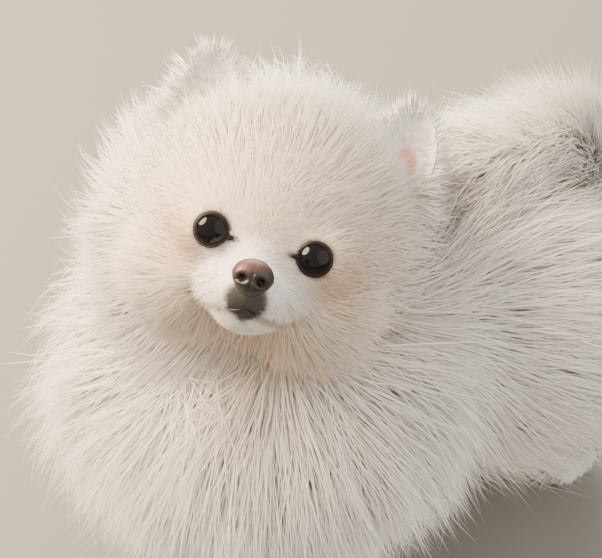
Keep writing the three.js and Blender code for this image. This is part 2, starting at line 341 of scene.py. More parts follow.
def skin_material():
    """Skin under the coat, covered with down: matt, faintly mottled at 4 mm."""
    made, tree, shader = material("skin_under_down")
    shader.inputs["Roughness"].default_value = 0.8
    colour = add(tree, "ShaderNodeAttribute", attribute_name="markings_and_painted_light")
    place = add(tree, "ShaderNodeTexCoord")
    size = {"Scale": 1 / (4 * MM), "Detail": 4.0, "Roughness": 0.6}
    down = add(tree, "ShaderNodeTexNoise", {"Vector": place.outputs["Object"]}, **size)
    span = {"To Min": 0.86, "To Max": 1.0}
    shade = add(tree, "ShaderNodeMapRange", {"Value": down.outputs["Fac"]}, **span)
    mixed = add(tree, "ShaderNodeVectorMath", {0: colour.outputs["Color"]}, operation="SCALE")
    tree.links.new(shade.outputs["Result"], mixed.inputs["Scale"])
    tree.links.new(mixed.outputs["Vector"], shader.inputs["Base Color"])
    bump = add(tree, "ShaderNodeBump", {"Height": down.outputs["Fac"]}, Strength=0.5, Distance=0.6 * MM)
    tree.links.new(bump.outputs["Normal"], shader.inputs["Normal"])
    return made


def eye_material():
    """A wet eye: dark brown iris under a clear cornea, almost black, mirror smooth."""
    made, _, shader = material("wet_cornea")
    shader.inputs["Base Color"].default_value = (*linear("#0c0807"), 1)
    shader.inputs["Roughness"].default_value = 0.07
    shader.inputs["IOR"].default_value = 1.38
    shader.inputs["Specular IOR Level"].default_value = 0.35
    return made


def lid_material():
    """The bare rim of the lid: damp, dark pigmented skin with a little pink."""
    made, tree, shader = material("lid_rim_skin")
    shader.inputs["Roughness"].default_value = 0.5
    shader.inputs["Specular IOR Level"].default_value = 0.25
    place = add(tree, "ShaderNodeTexCoord")
    size = {"Scale": 1 / (3 * MM), "Detail": 3.0}
    mottle = add(tree, "ShaderNodeTexNoise", {"Vector": place.outputs["Object"]}, **size)
    colours = add(tree, "ShaderNodeValToRGB", {"Fac": mottle.outputs["Fac"]})
    dark, light = colours.color_ramp.elements
    dark.position, light.position = 0.35, 0.75
    dark.color = (*linear("#0c0807"), 1)
    light.color = (*linear("#261814"), 1)
    tree.links.new(colours.outputs["Color"], shader.inputs["Base Color"])
    return made


def nose_material():
    """A damp nose pad: pebbled, near black skin, with painted light in brown-pink on its upper left and
    painted shade in the nostrils.
    """
    made, tree, shader = material("nose_pad")
    shader.inputs["Roughness"].default_value = 0.38
    colour = add(tree, "ShaderNodeAttribute", attribute_name="markings_and_painted_light")
    tree.links.new(colour.outputs["Color"], shader.inputs["Base Color"])
    place = add(tree, "ShaderNodeTexCoord")
    pebbles = add(tree, "ShaderNodeTexVoronoi", {"Vector": place.outputs["Object"]}, Scale=1 / (0.9 * MM))
    relief = {"Strength": 0.35, "Distance": 0.2 * MM}
    bump = add(tree, "ShaderNodeBump", {"Height": pebbles.outputs["Distance"]}, **relief)
    tree.links.new(bump.outputs["Normal"], shader.inputs["Normal"])
    return made


def lip_material():
    """The lips: moist, near black skin with a grain of 1.2 mm."""
    made, tree, shader = material("lip_skin")
    shader.inputs["Roughness"].default_value = 0.42
    place = add(tree, "ShaderNodeTexCoord")
    size = {"Scale": 1 / (1.2 * MM), "Detail": 3.0}
    grain = add(tree, "ShaderNodeTexNoise", {"Vector": place.outputs["Object"]}, **size)
    colours = add(tree, "ShaderNodeValToRGB", {"Fac": grain.outputs["Fac"]})
    dark, light = colours.color_ramp.elements
    dark.color = (*linear("#0d0a0a"), 1)
    light.color = (*linear("#261e1c"), 1)
    tree.links.new(colours.outputs["Color"], shader.inputs["Base Color"])
    return made


def ear_material():
    """The ear: thin, matt skin, pink where it is bare."""
    made, tree, shader = material("ear_skin")
    shader.inputs["Roughness"].default_value = 0.6
    colour = add(tree, "ShaderNodeAttribute", attribute_name="markings_and_painted_light")
    tree.links.new(colour.outputs["Color"], shader.inputs["Base Color"])
    return made


def claw_material():
    """A claw: pale horn, smooth and faintly translucent looking."""
    made, tree, shader = material("pale_claw_horn")
    shader.inputs["Roughness"].default_value = 0.4
    place = add(tree, "ShaderNodeTexCoord")
    grain = add(tree, "ShaderNodeTexNoise", {"Vector": place.outputs["Object"]}, Scale=1 / (1.5 * MM))
    colours = add(tree, "ShaderNodeValToRGB", {"Fac": grain.outputs["Fac"]})
    dark, light = colours.color_ramp.elements
    dark.color = (*linear("#8f7a6a"), 1)
    light.color = (*linear("#d9c8b8"), 1)
    tree.links.new(colours.outputs["Color"], shader.inputs["Base Color"])
    return made


def floor_material():
    """The floor: plain matt grey paint."""
    made, _, shader = material("floor_paint")
    shader.inputs["Base Color"].default_value = (*linear("#7f7c76"), 1)
    shader.inputs["Roughness"].default_value = 0.9
    return made


# Meshes


def finish_piece(obj, slot, *nodes):
    """Puts the piece on the body and hides the solids that it stands for. The slot is not used."""
    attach(obj, BODY)
    if nodes:
        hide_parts(*nodes)


def new_object(name, mesh, look):
    """An object in the scene with this mesh and material."""
    obj = bpy.data.objects.new(name, mesh)
    bpy.context.scene.collection.objects.link(obj)
    mesh.materials.append(look)
    return obj


def from_bmesh(name, bm, look):
    """An object from a bmesh whose places are in millimetres of the dog's frame."""
    bmesh.ops.transform(bm, matrix=PLACED, verts=bm.verts)
    bmesh.ops.recalc_face_normals(bm, faces=bm.faces)
    mesh = bpy.data.meshes.new(name)
    bm.to_mesh(mesh)
    bm.free()
    mesh.polygons.foreach_set("use_smooth", np.ones(len(mesh.polygons), bool))
    return new_object(name, mesh, look)


def apply_modifiers(obj):
    """Bakes the modifiers into the object's mesh."""
    graph = bpy.context.evaluated_depsgraph_get()
    made = bpy.data.meshes.new_from_object(obj.evaluated_get(graph))
    old = obj.data
    obj.modifiers.clear()
    obj.data = made
    bpy.data.meshes.remove(old)


def unwrap(obj):
    """Unfolds the whole mesh into a bake map."""
    bpy.context.view_layer.objects.active = obj
    obj.select_set(True)
    bpy.ops.object.mode_set(mode="EDIT")
    bpy.ops.mesh.select_all(action="SELECT")
    bpy.ops.uv.smart_project(angle_limit=math.radians(66), island_margin=0.002)
    bpy.ops.object.mode_set(mode="OBJECT")
    obj.select_set(False)
    obj.data.uv_layers[0].name = "OFBake"


def normals_of(mesh):
    """The way out at each point of the mesh."""
    way = np.empty(len(mesh.vertices) * 3)
    mesh.vertices.foreach_get("normal", way)
    return way.reshape(-1, 3)


def points_of(mesh):
    """The mesh's points in millimetres of the dog's frame."""
    place = np.empty(len(mesh.vertices) * 3)
    mesh.vertices.foreach_get("co", place)
    return (place.reshape(-1, 3) - np.array(SHIFT)) / MM


def into(matrix, points):
    """Points turned by a matrix."""
    m = np.array(matrix)
    return points @ m[:3, :3].T + m[:3, 3]


def paint(mesh, colours):
    """Writes one colour per point as the attribute of markings and painted light."""
    layer = mesh.attributes.new("markings_and_painted_light", "FLOAT_COLOR", "POINT")
    rgba = np.ones((len(mesh.vertices), 4))
    rgba[:, :3] = colours
    layer.data.foreach_set("color", rgba.ravel())


def ramp(value, low, high):
    """Smoothly from 0 at low to 1 at high."""
    share = np.clip((value - low) / (high - low), 0, 1)
    return share * share * (3 - 2 * share)


def lengths(vectors):
    """The length of each vector."""
    return np.linalg.norm(vectors, axis=-1)


def unit(vectors):
    """The vectors with a length of 1."""
    return vectors / np.maximum(lengths(vectors), 1e-9)[..., None]


# Markings and painted shade, shared by the skin and the coat


def spot(points, centre, stretch, near, far):
    """1 within near of a place, falling to 0 at far, with the distance stretched along each axis."""
    return 1 - ramp(lengths((points - np.array(centre)) / np.array(stretch)), near, far)


def markings_and_painted_light(points):
    """The colour at each point of the dog's frame: white, cream round the face, dark lips, and painted
    shade along the crease of the mouth and where it opens.
    """
    p = into(HEAD.inverted(), points)
    white = np.array(settings().coat_white)
    cream = np.array(settings().coat_cream)
    apricot = np.array(linear("#deb68e"))
    rose = np.array(linear("#c99a86"))
    dark = np.array(linear("#211b1a"))
    colour = np.tile(white, (len(points), 1))

    def lay(over, amount):
        colour[:] = colour * (1 - amount[:, None]) + over * amount[:, None]

    # Cream over the face, apricot under the chin and beside the eyes, a rosy bridge and a white muzzle
    lay(cream, 0.8 * spot(p, (0, -30, -4), (1.1, 1, 1), 25, 100))
    lay(apricot, 0.6 * spot(p, (6, -20, -58), (1.1, 1, 1), 8, 46))
    for side in (1, -1):
        lay(apricot, 0.6 * spot(p, (side * 33, -34, -4), (1.4, 1.2, 1.2), 3, 19))
    lay(rose, 0.3 * spot(p, (0, -50, 3), (0.9, 1.2, 1), 4, 15))
    lay(white, 0.95 * spot(p, (0, -50, -15), (1.5, 1.2, 1), 10, 28))
    # Round each eye a rosy lower edge, and a dark line with a dark inner corner
    front = p[:, 1] < -20
    for side in (1, -1):
        from_eye = p[:, [0, 2]] - (side * EYE_PLACE[0], EYE_PLACE[2])
        lay(rose, 0.6 * spot(from_eye, (side * 5, -6), (1, 1), 2, 6) * front)
        around = spot(from_eye, (0, 0), (1, 1), 7.0, 9.4)
        corner = spot(from_eye, (-side * 9, -1.4), (2.2, 1), 0.9, 2.2)
        lay(dark * 0.7, 0.85 * np.maximum(around, corner) * front)
    # The line of the mouth, painted as shade along the crease of the fur, and the lips under the nose,
    # which narrow downwards
    flat = np.abs(p[:, 0])
    line = np.interp(flat, *zip(*MOUTH))
    mouth_crease_shade = 1 - ramp(np.abs(p[:, 2] - line), 0.6, 2.4)
    lay(apricot * 0.5, 0.7 * mouth_crease_shade * (1 - ramp(flat, 23, 28)) * (p[:, 1] < -25))
    # The dark lips are partly the dark lip skin and partly painted shade where the mouth opens at their
    # lower edge
    patch = (p - LIP_PLACE) / (10, 13, 11)
    patch[:, 0] *= 1 + 0.35 * ramp(-p[:, 2], 22, 30)
    lay(dark * 0.8, 0.96 * (1 - ramp(lengths(patch), 0.78, 1.1)))
    return colour


# The skin


def mass_share(points, matrix, centre, radii):
    """How far each point is from the middle of a mass, with 1 on its surface."""
    return lengths((into(matrix.inverted(), points) - centre) / radii)


def limb_points(points, radii, count=14):
    """Points and radii evenly along a limb, on a smooth line."""
    knots = np.linspace(0, 1, len(points))
    share = np.linspace(0, 1, count)
    line = np.stack([np.interp(share, knots, [p[i] for p in points]) for i in range(3)], axis=1)
    for _ in range(3):
        line[1:-1] = (line[:-2] + 2 * line[1:-1] + line[2:]) / 4
    return line, np.interp(share, knots, radii)


def toe_places(x, y, z):
    """Where the toes of a paw are, side by side round this place."""
    return [Matrix.Translation((x + i * TOE_STEP, y + abs(i) * TOE_SET_BACK, z)) for i in TOES]


class POMERANIAN_OT_skin(bpy.types.Operator):
    """Model the skin as one closed form from the masses of the body"""

    bl_idname = "pomeranian.skin"
    bl_label = "Skin"

    def execute(self, context):
        bm = bmesh.new()
        for _, matrix, centre, radii in MASSES:
            at = matrix @ Matrix.Translation(centre) @ Matrix.Diagonal((*radii, 1))
            bmesh.ops.create_icosphere(bm, subdivisions=5, radius=1, matrix=at)
        for _, points, radii in LIMBS:
            line, thick = limb_points(points, radii)
            for centre, radius in zip(line, thick):
                at = Matrix.Translation(centre)
                bmesh.ops.create_icosphere(bm, subdivisions=3, radius=radius, matrix=at)
        for x, y in PAWS:
            pad = Matrix.Translation((x, y - 3, 8)) @ Matrix.Diagonal((*PAD_SIZE, 1))
            bmesh.ops.create_icosphere(bm, subdivisions=3, radius=1, matrix=pad)
            for place in toe_places(x, y - 16, 6):
                toe = place @ Matrix.Diagonal((*TOE_SIZE, 1))
                bmesh.ops.create_icosphere(bm, subdivisions=3, radius=1, matrix=toe)
        skin = from_bmesh("skin", bm, skin_material())
        joined = skin.modifiers.new("joined", "REMESH")
        joined.mode = "VOXEL"
        joined.voxel_size = SKIN_VOXEL * MM
        joined.use_smooth_shade = True
        apply_modifiers(skin)
        bm = bmesh.new()
        bm.from_mesh(skin.data)
        axes = {"use_axis_x": True, "use_axis_y": True, "use_axis_z": True}
        for _ in range(5):
            bmesh.ops.smooth_vert(bm, verts=bm.verts, factor=0.5, **axes)
        for vert in bm.verts:
            vert.co.z = max(vert.co.z, 0.0)
        bm.to_mesh(skin.data)
        bm.free()
        paint(skin.data, markings_and_painted_light(points_of(skin.data)))
        unwrap(skin)
        legs = [label for label, _, _ in LIMBS]
        finish_piece(skin, "coat", "head", "neck", "torso", *legs)
        return {"FINISHED"}


# The coat


def spread_over(mesh, values, rounds):
    """Values at the points, evened out along the edges of the mesh."""
    edges = np.empty(len(mesh.edges) * 2, np.int64)
    mesh.edges.foreach_get("vertices", edges)
    a, b = edges.reshape(-1, 2).T
    count = np.bincount(a, minlength=len(values)) + np.bincount(b, minlength=len(values))
    flat = values.reshape(len(values), -1)
    for _ in range(rounds):
        total = np.zeros_like(flat)
        for column in range(flat.shape[1]):
            total[:, column] = np.bincount(a, flat[b, column], len(flat))
            total[:, column] += np.bincount(b, flat[a, column], len(flat))
        flat = 0.5 * flat + 0.5 * total / count[:, None]
    return flat.reshape(values.shape)


def tail_flow(points):
    """The way along the tail at each point, and the way out from its middle."""
    line, _ = limb_points(*LIMBS[-1][1:], count=30)
    nearest = np.argmin(lengths(points[:, None] - line[None]), axis=1)
    along = unit(np.gradient(line, axis=0))[nearest]
    return along, unit(points - line[nearest])


def limb_share(points, index):
    """How far each point is from the line of a limb, with 1 on its surface."""
    line, thick = limb_points(*LIMBS[index][1:], count=30)
    return (lengths(points[:, None] - line[None]) / thick[None]).min(axis=1)


def lid_place(side):
    """The middle of the lids in the head's frame, with side 1 for the left eye and -1 for the right."""
    x, y, z = EYE_PLACE
    return side * x, y - LID_AHEAD, z


def regions_of(points):
    """The region of the coat at each skin point: that of the nearest mass or limb."""
    shares = [mass_share(points, *mass[1:]) for mass in MASSES]
    shares += [limb_share(points, i) for i in range(len(LIMBS))]
    kind = np.array(REGIONS)[np.stack(shares, axis=1).argmin(axis=1)]
    kind[(kind == "leg") & (points[:, 2] < PAW_HEIGHT)] = "paw"
    return kind


def hair_numbers(points, kind):
    """For each skin point: the share of the full length, strands per square cm and their width."""
    p = into(HEAD.inverted(), points)
    on_head = np.isin(kind, HEAD_REGIONS)
    on_muzzle = kind == "muzzle"
    table = np.array([(SHORTER.get(k, 1.0), *COAT[k]) for k in kind])
    # Short on the face and longer away from it, shortest on the muzzle, the lips and round the lids
    table[on_head, 0] = (0.12 + 0.88 * ramp(lengths(p - (0, -44, 0)), 16, 60))[on_head]
    sides = ramp(np.abs(p[:, 0]), 8, 20) * ramp(p[:, 1], -62, -40)
    table[on_muzzle, 0] = (0.1 + 0.26 * sides)[on_muzzle]
    table[:, 0] *= 1 - 0.7 * spot(p, LIP_PLACE, (11, 10, 9), 0.7, 1.1)
    for side in (1, -1):
        table[:, 0] *= 1 - 0.5 * spot(p, lid_place(side), (1, 1, 1), 8, 15)
    return table


def reach_shares(mesh, points, kind):
    """How much each reach counts at each skin point: the four masses, and two where they meet."""
    masses = [np.isin(kind, HEAD_REGIONS)] + [kind == name for name in ("collar", "chest", "back")]
    weight = spread_over(mesh, np.stack(masses, axis=1).astype(float), EVENED["masses"])
    crown, collar, chest, back = weight.T
    mantle = np.minimum(4 * (collar * chest + chest * back + collar * back), 1)
    behind = into(HEAD.inverted(), points)[:, 1] > -30
    nape = np.minimum(4 * crown * (collar + chest), 1) * (1 - mantle) * behind
    return np.column_stack([weight * (1 - mantle - nape)[:, None], mantle, nape])


def lie_of_coat(points, kind):
    """The way the hair lies at each skin point: away from the face, down the body, along the tail."""
    flow = unit(points - np.array(HEAD @ Vector(FACE_CENTRE)))
    for label, amount in (("chest", 0.6), ("collar", 0.1)):
        flow[kind == label] += np.array((0, 0, -amount))
    for label, way in LIES.items():
        flow[kind == label] = way
    along, out = tail_flow(points)
    tail = kind == "tail"
    flow[tail] = along[tail] + 0.4 * out[tail]
    return flow


def bare_skin(points):
    """Where no hair grows: on the eyes, the nose pad and under the paws."""
    p = into(HEAD.inverted(), points)
    bare = points[:, 2] < BARE_SOLE
    for side in (1, -1):
        bare |= lengths((p - lid_place(side)) * (1, 0.4, 1)) < BARE_EYE
    return bare | (lengths((p - NOSE_PLACE) / BARE_NOSE) < 1)


def hidden_skin(points, kind, normals):
    """Where fewer hairs are needed: the belly, and the tops of the legs under the coat."""
    on_head = np.isin(kind, HEAD_REGIONS)
    belly = 0.6 * ramp(-normals[:, 2], 0.2, 0.8) * (points[:, 2] > 30) * ~on_head
    return np.maximum(belly, 0.85 * ramp(points[:, 2], 50, 75) * np.isin(kind, ("leg", "paw")))


def sample(mesh, weight, count, rng):
    """Random places on the mesh, by area times weight: corners, loops, corner shares and whole area."""
    mesh.calc_loop_triangles()
    corners = np.empty(len(mesh.loop_triangles) * 3, np.int64)
    mesh.loop_triangles.foreach_get("vertices", corners)
    corners = corners.reshape(-1, 3)
    loops = np.empty(len(mesh.loop_triangles) * 3, np.int64)
    mesh.loop_triangles.foreach_get("loops", loops)
    loops = loops.reshape(-1, 3)
    place = points_of(mesh)
    first, second, third = (place[corners[:, i]] for i in range(3))
    area = lengths(np.cross(second - first, third - first))
    chance = area * weight[corners].mean(axis=1)
    chosen = rng.choice(len(corners), count, p=chance / chance.sum())
    u = rng.random((count, 2))
    folded = u.sum(axis=1) > 1
    u[folded] = 1 - u[folded]
    shares = np.column_stack([1 - u.sum(axis=1), u])
    return corners[chosen], loops[chosen], shares, (chance.sum() / 2)


def at_roots(values, corners, shares):
    """Point values carried to the sampled places."""
    if values.ndim == 1:
        return (values[corners] * shares).sum(axis=1)
    return (values[corners] * shares[..., None]).sum(axis=1)


def clumped(root, bend, tip, every, pull):
    """Tips drawn together towards those of a few guide strands, as hair lies in tufts."""
    guides = np.arange(0, len(root), every)
    tree = KDTree(len(guides))
    for i, g in enumerate(guides):
        tree.insert(root[g], i)
    tree.balance()
    nearest = guides[[tree.find(r)[1] for r in root]]
    offset = root - root[nearest]
    tip = tip + pull[:, None] * (tip[nearest] + 0.45 * offset - tip)
    bend = bend + 0.35 * pull[:, None] * (bend[nearest] + 0.8 * offset - bend)
    return bend, tip


def coat_tips(roots, lie, weight, reach):
    """Where the strands would end on the reaches of the masses, mixed where two meet."""
    tips = np.zeros_like(roots)
    for column, (matrix, centre, radii, run) in enumerate(REACH.values()):
        aim = into(matrix.inverted(), roots + lie * run) - centre
        share = lengths(aim / radii)
        end = into(matrix, aim * (reach / share)[:, None] + centre)
        tips += end * weight[:, column : column + 1]
    return tips


def coat_limits():
    """The box that the coat keeps within: that of the solids with a margin, and above the floor."""
    low, high = (np.array(corner) for corner in CAD_BOX)
    lowest = (low - SHIFT) / MM - BOX_MARGIN
    lowest[2] = FLOOR_CLEARANCE
    return lowest, (high - SHIFT) / MM + BOX_MARGIN


def strand_mesh(name, root, bend, tip, out, width, rings, colour, deep, uv):
    """Closed, tapered three-sided strands as one mesh, with markings, painted shade towards the roots,
    soft normals and a bake map.
    """
    count = len(root)
    share = np.linspace(0, 1, rings + 1)
    at = share[:-1][None, :, None]
    line = (1 - at) ** 2 * root[:, None] + 2 * at * (1 - at) * bend[:, None] + at**2 * tip[:, None]
    heading = unit((1 - at) * (bend - root)[:, None] + at * (tip - bend)[:, None])
    side = unit(np.cross(heading, out[:, None]))
    over = np.cross(side, heading)
    taper = (1 - 0.75 * share[:-1] ** 1.3)[None, :, None]
    half = width[:, None, None] * taper / 2
    corners = []
    normals = []
    for turn in (math.pi / 2, math.pi * 11 / 6, math.pi * 7 / 6):
        way = side * math.cos(turn) + over * math.sin(turn)
        flat = side * math.cos(turn) + over * math.sin(turn) * 0.6
        corners.append(line + flat * half)
        normals.append(unit(0.22 * way + 0.78 * out[:, None]))
    corners = np.stack(corners, axis=2).reshape(count, rings * 3, 3)
    normals = np.stack(normals, axis=2).reshape(count, rings * 3, 3)
    points = np.clip(np.concatenate([corners, tip[:, None]], axis=1), *coat_limits())
    normals = np.concatenate([normals, out[:, None]], axis=1)
    faces = [(0, 2, 1)]
    for ring in range(rings - 1):
        for i in range(3):
            a, b = ring * 3 + i, ring * 3 + (i + 1) % 3
            faces += [(a, b, b + 3), (a, b + 3, a + 3)]
    last = (rings - 1) * 3
    faces += [(last + i, last + (i + 1) % 3, rings * 3) for i in range(3)]
    per = rings * 3 + 1
    every = (np.array(faces)[None] + per * np.arange(count)[:, None, None]).reshape(-1)
    mesh = bpy.data.meshes.new(name)
    mesh.vertices.add(count * per)
    mesh.vertices.foreach_set("co", (points.reshape(-1, 3) * MM + np.array(SHIFT)).ravel())
    mesh.loops.add(len(every))
    mesh.loops.foreach_set("vertex_index", every)
    mesh.polygons.add(len(every) // 3)
    mesh.polygons.foreach_set("loop_start", np.arange(0, len(every), 3))
    mesh.polygons.foreach_set("use_smooth", np.ones(len(every) // 3, bool))
    mesh.update(calc_edges=True)
    # Towards its root each strand is painted creamier and darker: partly its cream undercoat, partly
    # painted shade deep in the coat
    along = np.append(np.repeat(share[:-1], 3), 1.0)
    root_cream_and_shade = deep[:, None] * (1 - along[None]) ** 1.5
    cream = np.array(settings().coat_cream) / np.array(settings().coat_white)
    paint(mesh, (colour[:, None] * (1 - root_cream_and_shade[..., None] * (1 - cream))).reshape(-1, 3))
    around = np.append(np.tile((0, 0.5, 1.0), rings), 0.5)
    patch = np.column_stack([around - 0.5, along - 0.5]) * PATCH
    layer = mesh.uv_layers.new(name="OFBake")
    spots = (uv[:, None] + patch[None]).reshape(-1, 2)
    layer.data.foreach_set("uv", np.clip(spots, 0, 1)[every].ravel())
    mesh.normals_split_custom_set_from_vertices(normals.reshape(-1, 3))
    return mesh


def grow(piece, slot, look, rng, roots, tips, out, share, width, uv, rings, every, pull, bow, deep):
    """One region's strands, split into pieces of a sensible size."""
    run = tips - roots
    run *= np.minimum(LONGEST / lengths(run), 1)[:, None]
    size = lengths(run) * share
    stray = rng.normal(0, 1, roots.shape)
    curl = rng.normal(0, 1, roots.shape)
    start = roots - out * 0.8
    tip = roots + run * share[:, None] + stray * size[:, None] * 0.1
    bend = start + (tip - start) * 0.4 + out * (size * bow)[:, None] + curl * size[:, None] * 0.07
    pulls = pull * rng.uniform(0.2, 1.0, len(roots)) ** 0.7
    bend, tip = clumped(start, bend, tip, every, pulls)
    colour = markings_and_painted_light(roots * 0.6 + tip * 0.4) * rng.uniform(0.93, 1.03, len(roots))[:, None]
    # How much each strand is painted creamier and darker at its root, partly as painted shade
    root_shading = rng.uniform(0.2, 1.0, len(roots)) * deep
    width = width * rng.uniform(0.7, 1.25, len(roots))
    order = np.argsort(np.arctan2(roots[:, 0] - COAT_MIDDLE[0], COAT_MIDDLE[1] - roots[:, 1]))
    pieces = max(1, math.ceil(len(roots) * (6 * rings - 2) / TRIANGLES_PER_PIECE))
    for number, part in enumerate(np.array_split(order, pieces)):
        name = f"{piece}_{number + 1}" if pieces > 1 else piece
        line = (start[part], bend[part], tip[part], out[part])
        mesh = strand_mesh(name, *line, width[part], rings, colour[part], root_shading[part], uv[part])
        finish_piece(new_object(name, mesh, look), slot)


def loop_uvs(mesh):
    """The OFBake coordinates of each face corner."""
    uv = np.empty(len(mesh.loops) * 2)
    mesh.uv_layers["OFBake"].data.foreach_get("uv", uv)
    return uv.reshape(-1, 2)


class POMERANIAN_OT_coat(bpy.types.Operator):
    """Grow the coat from the skin, region by region, along its lie"""

    bl_idname = "pomeranian.coat"
    bl_label = "Coat"

    def execute(self, context):
        rng = np.random.default_rng(COAT_SEED)
        mesh = bpy.data.objects["skin"].data
        points = points_of(mesh)
        kind = regions_of(points)
        table = spread_over(mesh, hair_numbers(points, kind), EVENED["numbers"])
        weight = reach_shares(mesh, points, kind)
        swirl = spread_over(mesh, rng.normal(0, 1, points.shape), EVENED["swirl"])
        swirl = swirl / swirl.std() * np.where(np.isin(kind, HEAD_REGIONS), 0.13, 0.18)[:, None]
        flow = spread_over(mesh, unit(lie_of_coat(points, kind)), EVENED["lie"]) + swirl
        normals = spread_over(mesh, normals_of(mesh), EVENED["out"])
        growing = ~bare_skin(points) * (1 - hidden_skin(points, kind, normals))
        look = hair_material()
        uvs = loop_uvs(mesh)
        for name, kinds, layers, every, pull, bow, deep in PIECES:
            chance = table[:, 1] / 100 * np.isin(kind, kinds) * growing
            _, _, _, area = sample(mesh, chance, 1, rng)
            for suffix, part, rings, broad, nearest, farthest in layers:
                count = int(area * part * settings().coat_share)
                corners, loops, shares, _ = sample(mesh, chance, count, rng)
                roots = at_roots(points, corners, shares)
                out = unit(at_roots(normals, corners, shares))
                lie = at_roots(flow, corners, shares) + rng.normal(0, 0.16, roots.shape)
                lie -= (lie * out).sum(axis=1)[:, None] * out
                share, _, width = at_roots(table, corners, shares).T
                # Where the lie is unsettled the hair stays short and under its neighbours
                share = share * np.clip(lengths(lie) / 0.55, 0.45, 1)
                lie = unit(lie)
                mix = at_roots(weight, corners, shares)
                reach = rng.uniform(nearest, farthest, count)
                if name in LIMB_HAIR:
                    away, along = LIMB_HAIR[name]
                    tips = roots + (out * away + lie * along) * reach[:, None]
                else:
                    tips = coat_tips(roots, lie, mix / mix.sum(axis=1)[:, None], reach)
                    height = ((tips - roots) * out).sum(axis=1)
                    tips += out * np.maximum(LEAST_DEPTH - height, 0)[:, None]
                strands = (roots, tips, out, share, width * broad, at_roots(uvs, loops, shares))
                grow(name + suffix, "coat", look, rng, *strands, rings, every, pull, bow, deep)
        return {"FINISHED"}


# The head's pieces


def bridge(bm, one, other):
    """Joins two rings of points with faces."""
    rings = (set(one), set(other))
    edges = {e for ring in rings for v in ring for e in v.link_edges if e.other_vert(v) in ring}
    bmesh.ops.bridge_loops(bm, edges=list(edges))


def head_sphere(bm, centre, radii, subdivisions):
    """Adds a ball to the bmesh, with its centre and radii in the head's frame."""
    at = HEAD @ Matrix.Translation(centre) @ Matrix.Diagonal((*radii, 1))
    bmesh.ops.create_icosphere(bm, subdivisions=subdivisions, radius=1, matrix=at)


class POMERANIAN_OT_eyes(bpy.types.Operator):
    """Model each eyeball, and the rim of its lids"""

    bl_idname = "pomeranian.eyes"
    bl_label = "Eyes"

    def execute(self, context):
        radius = settings().eye_radius / MM
        wet = eye_material()
        rim = lid_material()
        for name, side in (("left", 1), ("right", -1)):
            x, y, z = side * EYE_PLACE[0], EYE_PLACE[1], EYE_PLACE[2]
            opening = settings().lid_opening / MM * (1 if side > 0 else RIGHT_LID)
            bm = bmesh.new()
            head_sphere(bm, (x, y, z), (radius,) * 3, 5)
            eye = from_bmesh(f"eyeball_{name}", bm, wet)
            finish_piece(eye, "eye", f"eye_{name}")

            # The rim of the lids is a thin roll on the ball, with a point towards the nose
            bm = bmesh.new()
            level = y - math.sqrt(radius**2 - opening**2)
            steps = 48
            roll = None
            first = None
            for i in range(steps):
                turn = 2 * math.pi * i / steps
                inner = max(0.0, -side * math.cos(turn)) ** 8
                reach = opening * (1 + 0.1 * inner)
                across, upwards = reach * math.cos(turn), reach * math.sin(turn) - 0.7 * inner
                centre = Vector((x + across, level + 0.25 + 0.7 * inner, z + upwards))
                thick = 0.85 + 0.3 * max(0.0, math.sin(turn))
                at = HEAD @ Matrix.Translation(centre) @ Matrix.Rotation(-turn, 4, "Y")
                ring = bmesh.ops.create_circle(bm, segments=8, radius=thick, matrix=at)["verts"]
                if roll:
                    bridge(bm, roll, ring)
                first = first or ring
                roll = ring
            bridge(bm, roll, first)
            head_sphere(bm, (x - side * (opening + 1.0), level + 0.9, z - 1.1), (2.6, 1.3, 1.1), 3)
            lid = from_bmesh(f"lid_rim_{name}", bm, rim)
            finish_piece(lid, "eye")
        return {"FINISHED"}


class POMERANIAN_OT_nose(bpy.types.Operator):
    """Model the nose pad with its nostrils and groove"""

    bl_idname = "pomeranian.nose"
    bl_label = "Nose"

    def execute(self, context):
        bm = bmesh.new()
        bmesh.ops.create_icosphere(bm, subdivisions=6, radius=1)
        # A ball with a groove, two nostrils with slits to their sides, and wings round them
        for vert in bm.verts:
            x, y, z = vert.co
            front = max(0.0, -y)
            wide = NOSE_SIZE[0] - 1.5 * max(0.0, -z)
            place = Vector((x * wide, y * NOSE_SIZE[1], z * NOSE_SIZE[2]))
            groove = math.exp(-((x / 0.09) ** 2)) * front * (1 if z < 0.25 else 0.3)
            place.y += 0.7 * groove
            for side in (1, -1):
                dx, dz = x - side * 0.45, z + 0.12
                hole = math.exp(-((dx / 0.23) ** 2 + (dz / 0.2) ** 2)) * front
                slit = math.exp(-(((dx - side * 0.27) / 0.24) ** 2 + ((dz + 0.18) / 0.09) ** 2)) * front
                place.y += 3.4 * hole + 1.6 * slit
                wing = math.exp(-(((x - side * 0.72) / 0.3) ** 2 + ((z + 0.05) / 0.5) ** 2)) * front
                place.y -= 0.8 * wing
            vert.co = HEAD @ (Vector(NOSE_PLACE) + place)
        nose = from_bmesh("nose_pad", bm, nose_material())
        p = into(HEAD.inverted(), points_of(nose.data)) - NOSE_PLACE
        # Painted light: the pad is painted brown-pink where the light falls on its upper left and near
        # black below, and the nostrils are painted darker as painted shade
        top = np.array(linear("#5a3832"))
        low = np.array(linear("#1d1716"))
        light = ramp(p[:, 2] - 0.5 * p[:, 0] + 0.2 * (-p[:, 1] - 4), -0.5, 7)[:, None]
        u, w = p[:, 0] / NOSE_SIZE[0], p[:, 2] / NOSE_SIZE[2] + 0.12
        hollow = np.exp(-(((np.abs(u) - 0.45) / 0.22) ** 2 + (w / 0.2) ** 2)) * (p[:, 1] < 0)
        paint(nose.data, (low * (1 - light) + top * light) * (1 - 0.9 * hollow[:, None]))
        finish_piece(nose, "nose", "nose")
        return {"FINISHED"}


